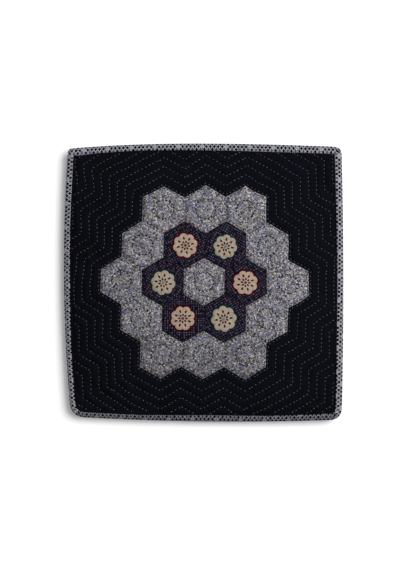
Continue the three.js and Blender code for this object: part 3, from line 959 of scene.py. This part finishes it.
def binding():
    """The bound edge as one closed loop round the cushion's edge, with its print along each side."""
    folded, cavity = binding_section()
    section = folded + cavity
    inward = ring_at(BINDING_WIDTH, BINDING_CELLS) - ring_at(BINDING_WIDTH - 1, BINDING_CELLS)
    around = len(inward)
    order = np.arange(around)
    wider = np.interp(order / BINDING_CELLS, *zip(*BINDING_WIDER)) / BINDING_WIDTH
    rings = [ring_at(inset, BINDING_CELLS) + inward * (wider * inset)[:, None] for inset, _ in section]
    points = []
    for (_, rise), ring in zip(section, rings):
        lapping = LAP_RISE * lap_share(*ring.T) if rise > 0 else 0
        lump = LUMP_RISE * uneven(*ring.T, LUMP_LENGTH, 40) + lapping
        lump = lump * (abs(rise) > EDGE_HALF + GAP + LUMP_FROM)
        points.append(np.column_stack([ring, seam_height(*ring.T) + rise + lump * np.sign(rise)]))
    points = np.concatenate(points)
    steps = np.array([math.dist(a, b) for a, b in zip(section[:-1], section[1:])])
    across = np.concatenate([[0], np.cumsum(steps), [0]])
    halfway = [inset for inset, _ in section].index(BINDING_WIDTH / 2)
    from_edge = across[halfway] - across + BINDING_WIDTH / 2
    lines = side_lines()
    sides = order // BINDING_CELLS
    faces, cloth = [], []
    for i in range(len(section)):
        quads = np.array(band(i * around + order, (i + 1) % len(section) * around + order))
        spots = points[quads][:, :, :2]
        insets = from_edge[[i, i + 1, i + 1, i]] * (1 + wider[:, None])
        placed = np.zeros((around, 4, 2))
        for side, (start, way) in enumerate(lines):
            here = sides == side
            placed[here] = print_place(side, (spots[here] - start) @ way, insets[here])
        start, way = lines[2]
        lapped = (sides == 3) & (lap_share(*spots.mean(axis=1).T) > 0.5) & (section[i][1] > 0)
        offset = spots[lapped] - start
        placed[lapped] = print_place(2, offset @ way, offset @ np.array([-way[1], way[0]]))
        faces.append(quads)
        cloth.append(placed)
    run = np.linalg.norm(np.diff(rings[0], axis=0, append=rings[0][:1]), axis=1)
    made = piece("bound_edge", points, np.concatenate(faces).tolist(), [BINDING_PRINT], "binding_print",
                 face_cloth=np.concatenate(cloth).reshape(-1, 2))
    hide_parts("edge_binding")
    return made


# Materials.

def linear(code):
    """A colour given as sRGB hex, as the linear values that a shader takes."""
    values = [int(code[i:i + 2], 16) / 255 for i in (0, 2, 4)]
    return tuple(c / 12.92 if c <= 0.04045 else ((c + 0.055) / 1.055) ** 2.4 for c in values) + (1,)


def add(tree, kind, inputs=None, **settings):
    """Adds a node with its settings and its sockets' values or links."""
    node = tree.nodes.new("ShaderNode" + kind)
    for name, value in settings.items():
        setattr(node, name, value)
    for key, value in (inputs or {}).items():
        if isinstance(value, bpy.types.NodeSocket):
            tree.links.new(value, node.inputs[key])
        else:
            node.inputs[key].default_value = value
    return node


def new_material(name):
    material = bpy.data.materials.new(name)
    material.use_nodes = True
    material.node_tree.nodes.clear()
    return material, material.node_tree


def shade(tree, values):
    shader = add(tree, "BsdfPrincipled", values)
    add(tree, "OutputMaterial", {"Surface": shader.outputs["BSDF"]})


def ramp(tree, value, stops, stepped=False):
    """Colours along a value; each stop is a place with a colour in hex or a grey from 0 to 1."""
    node = add(tree, "ValToRGB", {"Fac": value})
    elements = node.color_ramp.elements
    for i, (place, colour) in enumerate(stops):
        stop = elements[i] if i < len(elements) else elements.new(place)
        stop.position = place
        stop.color = linear(colour) if isinstance(colour, str) else (colour, colour, colour, 1)
    if stepped:
        node.color_ramp.interpolation = "CONSTANT"
    return node.outputs["Color"]


def blend(tree, share, low, high):
    """Mixes two colours, each a socket or hex, by a share."""
    low, high = (linear(c) if isinstance(c, str) else c for c in (low, high))
    return add(tree, "Mix", {0: share, 6: low, 7: high}, data_type="RGBA").outputs[2]


def maths(tree):
    """A function that adds a node for one operation and gives its result."""
    def result(operation, first, second=0.0):
        return add(tree, "Math", {0: first, 1: second}, operation=operation).outputs[0]
    return result


def span(tree, value, low, high, to_low=0.0, to_high=1.0):
    """Turns a value between low and high to one between to_low and to_high."""
    return add(tree, "MapRange", {
        "Value": value, "From Min": low, "From Max": high, "To Min": to_low, "To Max": to_high,
    }).outputs[0]


def noise(tree, place, scale, detail=1):
    return add(tree, "TexNoise", {"Vector": place, "Scale": scale, "Detail": detail}).outputs["Fac"]


def cells(tree, place, size):
    """Random cells: the distance from a cell's middle, and two random values for each cell."""
    node = add(tree, "TexVoronoi", {"Vector": place, "Scale": 1 / size, "Randomness": 1.0})
    parts = add(tree, "SeparateColor", {"Color": node.outputs["Color"]})
    return node.outputs["Distance"], parts.outputs["Red"], parts.outputs["Green"]


# Blender's band texture repeats every 0.314 units at scale 1.
BAND_REPEAT = 2 * math.pi / 20


def bands(tree, place, pitch, way, distortion, detail=2.0, detail_scale=1.0):
    """Parallel threads or stripes across x or y."""
    return add(tree, "TexWave", {
        "Vector": place, "Scale": BAND_REPEAT / pitch, "Distortion": distortion, "Detail": detail,
        "Detail Scale": detail_scale,
    }, wave_type="BANDS", bands_direction=way).outputs["Fac"]


def object_place(tree):
    return add(tree, "TexCoord").outputs["Object"]


def woven(name, paint, thread=0.8, specular=0.1, bump=0.12):
    """Plain-woven cotton. Threads of 0.4 mm are drawn 0.8 mm wide, because finer ones don't show."""
    material, tree = new_material(name)
    place = add(tree, "UVMap", uv_map="cloth").outputs["UV"]
    warp, weft = (bands(tree, place, thread, way, THREAD_WAVER) for way in ("X", "Y"))
    over = add(tree, "TexChecker", {
        "Vector": place, "Scale": 1 / thread, "Color1": warp, "Color2": weft,
    }).outputs["Color"]
    relief = add(tree, "Bump", {"Strength": 0.5, "Distance": bump * MM, "Height": over})
    shade(tree, {
        "Base Color": paint(tree, place, over), "Roughness": 0.9, "Specular IOR Level": specular, "IOR": 1.5,
        "Normal": relief.outputs["Normal"],
    })
    return material


def paint_navy(tree, place, threads):
    """Deep indigo-dyed cotton, a little faded where threads rise and in soft clouds."""
    dyed = ramp(tree, noise(tree, place, 1 / 45, 3), [(0.35, "0A0B0D"), (0.65, "0C0D13")])
    return blend(tree, maths(tree)("MULTIPLY", threads, 0.5), dyed, "13151D")


def paint_grey_print(tree, place, threads):
    """Close small leaves and buds in grey, cream, blue and olive with specks, and painted shade on the
    lowest row.
    """
    m = maths(tree)
    _, tone, _ = cells(tree, place, LEAF_SIZE)
    leaves = ramp(tree, tone, [
        (0.0, "1E1E26"), (0.13, "403F49"), (0.34, "5F5E68"), (0.57, "7E7C84"), (0.79, "A3A0A0"),
        (0.92, "CAC4BC"),
    ], stepped=True)
    from_bud, _, hue = cells(tree, place, BUD_SIZE)
    buds = ramp(tree, hue, [
        (0.0, "7E7C84"), (0.34, "666A94"), (0.5, "86817E"), (0.76, "78745A"), (0.88, "807B8C"),
    ], stepped=True)
    tinted = blend(tree, ramp(tree, from_bud, [(0.3, 0.6), (0.55, 0.1)]), leaves, buds)
    from_speck, kind, _ = cells(tree, place, SPECK_SIZE)
    specks = ramp(tree, from_speck, [(0.25, 1), (0.29, 0)])
    dark = m("MULTIPLY", specks, m("LESS_THAN", kind, 0.55))
    pale = m("MULTIPLY", specks, m("GREATER_THAN", kind, 0.8))
    printed = blend(tree, pale, blend(tree, dark, tinted, "08080C"), "C0BAB4")
    # Painted shade: the print darkens towards the lowest row of patches.
    up = add(tree, "SeparateXYZ", {"Vector": object_place(tree)}).outputs["Y"]
    lowest = span(tree, up, -130 * MM, -60 * MM, LOWEST_ROW_PAINTED_SHADE, 0.0)
    return blend(tree, lowest, printed, "101014")


def paint_check(tree, place, threads):
    """Small broken check: dim dashes both ways over a purple-black ground."""
    m = maths(tree)
    across, along = (
        span(tree, bands(tree, place, CHECK_PITCH, way, CHECK_WAVER, 1.0, 0.8), low, 0.95)
        for way, low in (("X", 0.5), ("Y", 0.15))
    )
    single = m("MULTIPLY", m("ADD", across, along), CHECK_SINGLE)
    crossed = m("MULTIPLY", m("MULTIPLY", across, along), CHECK_CROSSED)
    worn = span(tree, noise(tree, place, 1 / 4.5, 2), 0.4, 0.64)
    ground = ramp(tree, noise(tree, place, 1 / 9), [(0.36, "070C18"), (0.5, "0D0A17"), (0.64, "1A0912")])
    dyed = ramp(tree, noise(tree, place, 1 / 6), [(0.4, "555C70"), (0.5, "605C72"), (0.64, "644E5E")])
    return blend(tree, m("MULTIPLY", m("ADD", single, crossed), worn), ground, dyed)


def paint_dots(tree, place, threads):
    """Staggered rows of black dots in pale rings.

    A few dots are dark red, one of each group is missing, and every other row has dim ones between. The
    bottom side's strip gets painted shade.
    """
    m = maths(tree)
    parts = add(tree, "SeparateXYZ", {"Vector": place}).outputs
    row_share = m("DIVIDE", parts["Y"], DOT_ROWS)
    row = m("ROUND", row_share)
    odd = m("FLOORED_MODULO", row, 2.0)
    dot_share = m("SUBTRACT", m("DIVIDE", parts["X"], DOT_PITCH), m("MULTIPLY", odd, 0.5))
    dot = m("ROUND", dot_share)
    off_middle = add(tree, "CombineXYZ", {
        "X": m("MULTIPLY", m("SUBTRACT", dot_share, dot), DOT_PITCH),
        "Y": m("MULTIPLY", m("SUBTRACT", row_share, row), DOT_ROWS),
    }).outputs[0]
    away = add(tree, "VectorMath", {0: off_middle}, operation="LENGTH").outputs["Value"]
    inside = span(tree, away, DOT_RADIUS - DOT_BLUR, DOT_RADIUS + DOT_BLUR, 1.0, 0.0)
    ringed = span(tree, away, RING_RADIUS, RING_RADIUS + RING_BLUR, 1.0, 0.0)
    pairs = m("FLOOR", m("MULTIPLY", row, 0.5))
    staggered = m("ADD", dot, m("MULTIPLY", pairs, DOT_GROUP / 2))
    in_group = m("FLOORED_MODULO", staggered, float(DOT_GROUP))
    shown = m("MAXIMUM", odd, m("GREATER_THAN", in_group, 0.5))
    dim = m("MULTIPLY", odd, m("FLOORED_MODULO", m("ADD", dot, 1.0), 2.0))
    one_in_five = m("FLOORED_MODULO", m("ADD", dot, m("MULTIPLY", row, 2.0)), 5.0)
    ground = ramp(tree, noise(tree, place, 0.6), [(0.36, "282A33"), (0.62, "5A5C68")])
    inked = m("MULTIPLY", ringed, span(tree, noise(tree, place, 0.35), 0.38, 0.62, 0.3, 1.0))
    pale = blend(tree, inked, ground, "D6D4DE")
    black = blend(tree, m("LESS_THAN", one_in_five, 0.5), "030304", "24060C")
    dots = blend(tree, shown, "8A8D9A", blend(tree, dim, black, "4A4C58"))
    # Painted shade: the bottom side's strip is darkened, as that side rolls away from the light.
    bottom = m("MULTIPLY", m("LESS_THAN", parts["X"], float(COVER_SIDE)), BOTTOM_STRIP_PAINTED_SHADE)
    return blend(tree, bottom, blend(tree, inside, pale, dots), "08080A")


def paint_petals(middle, body, edge):
    """Printed petals: cream, with a tint towards their rounded ends and faint uneven ink."""
    def paint(tree, place, threads):
        outward_share = add(tree, "SeparateXYZ", {"Vector": place}).outputs["X"]
        tint = ramp(tree, outward_share, [(0.0, middle), (0.3, body), (0.72, body), (0.86, edge)])
        ink = noise(tree, object_place(tree), 1 / (4 * MM), 2)
        return blend(tree, 0.35, tint, ramp(tree, ink, [(0.36, "8C7462"), (0.64, "BEA894")]))
    return paint


def plain_cloth(code, code_raised):
    def paint(tree, place, threads):
        return blend(tree, threads, code, code_raised)
    return paint


def thread_material(name, code, code_lit):
    """Twisted cotton thread, seen as short smooth strokes a little paler on the twist."""
    material, tree = new_material(name)
    twist = noise(tree, object_place(tree), 900.0)
    relief = add(tree, "Bump", {"Strength": 0.3, "Distance": 0.1 * MM, "Height": twist})
    shade(tree, {
        "Base Color": ramp(tree, twist, [(0.35, code), (0.65, code_lit)]), "Roughness": 0.8,
        "Specular IOR Level": 0.15, "Normal": relief.outputs["Normal"],
    })
    return material


NAVY_COTTON = woven("navy_cotton_cloth", paint_navy, specular=0.0)
GREY_PRINT = woven("grey_leafy_print", paint_grey_print)
CHECK_COTTON = woven("dark_broken_check", paint_check, specular=0.03)
BINDING_PRINT = woven("dotted_binding_print", paint_dots)
PETAL_COTTON = {
    rim: woven(f"cream_petals_{ends}_ends", paint_petals(*codes), thread=0.6, bump=0.05)
    for rim, ends, codes in (
        ("red", "pink", ("988070", "A08B7D", "A2857A")), ("teal", "green", ("76766C", "9D8B7D", "82887C")),
    )
}
RIM_COTTON = {
    "red": woven("dark_red_rim", plain_cloth("28060A", "38080E"), specular=0.03),
    "teal": woven("dark_teal_rim", plain_cloth("081A1C", "0C2626"), specular=0.03),
}
HEART_COTTON = {
    "red": thread_material("dark_red_heart", "600C12", "701418"),
    "teal": thread_material("teal_grey_heart", "4A6A68", "5C7C76"),
}
SEED_INK = thread_material("brown_black_seeds", "080504", "100806")
PALE_THREAD = thread_material("pale_grey_thread", "62626A", "8A8A92")
DARK_THREAD = thread_material("dark_navy_thread", "06070A", "0C0D12")


# Stage.

def stage():
    mesh = bpy.data.meshes.new("floor")
    corners = ((-1, -1), (1, -1), (1, 1), (-1, 1))
    points = [(x * FLOOR_REACH, y * FLOOR_REACH, -FLOOR_DROP) for x, y in corners]
    mesh.from_pydata(points, [], [(0, 1, 2, 3)])
    floor = placed_object("floor", mesh)
    material, tree = new_material("white_paper")
    shade(tree, {
        "Base Color": linear("FAFAFA"), "Roughness": 0.9, "Specular IOR Level": 0.1,
        "Emission Color": (1, 1, 1, 1), "Emission Strength": PAPER_GLOW,
    })
    mesh.materials.append(material)


def lamp(name, azimuth, elevation, distance, size, power):
    """A soft square light that looks at the cover's middle."""
    data = bpy.data.lights.new(name, "AREA")
    data.energy = power
    data.shape = "SQUARE"
    data.size = size
    made = placed_object(name, data)
    a, e = math.radians(azimuth), math.radians(elevation)
    made.location = distance * Vector((math.cos(e) * math.cos(a), math.cos(e) * math.sin(a), math.sin(e)))
    made.rotation_euler = (math.pi / 2 - e, 0, a + math.pi / 2)


def lights():
    lamp("key", **KEY_LAMP)
    world = bpy.data.worlds.new("studio")
    world.use_nodes = True
    background = world.node_tree.nodes["Background"].inputs
    background["Color"].default_value = (1, 1, 1, 1)
    background["Strength"].default_value = ROOM_LIGHT
    bpy.context.scene.world = world


def camera():
    data = bpy.data.cameras.new("camera")
    data.sensor_fit = "HORIZONTAL"
    data.sensor_width = SENSOR_WIDTH
    data.lens = SENSOR_WIDTH * (CAMERA_HEIGHT - SEAM_HEIGHT) / (PICTURE[0] * MM_PER_PIXEL)
    data.clip_end = CAMERA_REACH
    made = placed_object("camera", data)
    x = (PICTURE[0] / 2 - COVER_MIDDLE_PIXEL[0]) * MM_PER_PIXEL
    y = (COVER_MIDDLE_PIXEL[1] - PICTURE[1] / 2) * MM_PER_PIXEL
    made.location = (x * MM, y * MM, CAMERA_HEIGHT * MM)
    bpy.context.scene.camera = made


quilted = cushion()
grey = patches("grey_patches", GREY_PATCHES, GREY_PRINT, "grey_print")
check = patches("check_patches", CHECK_PATCHES, CHECK_COTTON, "check_cotton")
flowers(check)
stitches(quilted, grey, check)
binding()
stage()
lights()
camera()
bpy.context.scene.view_settings.view_transform = "Standard"
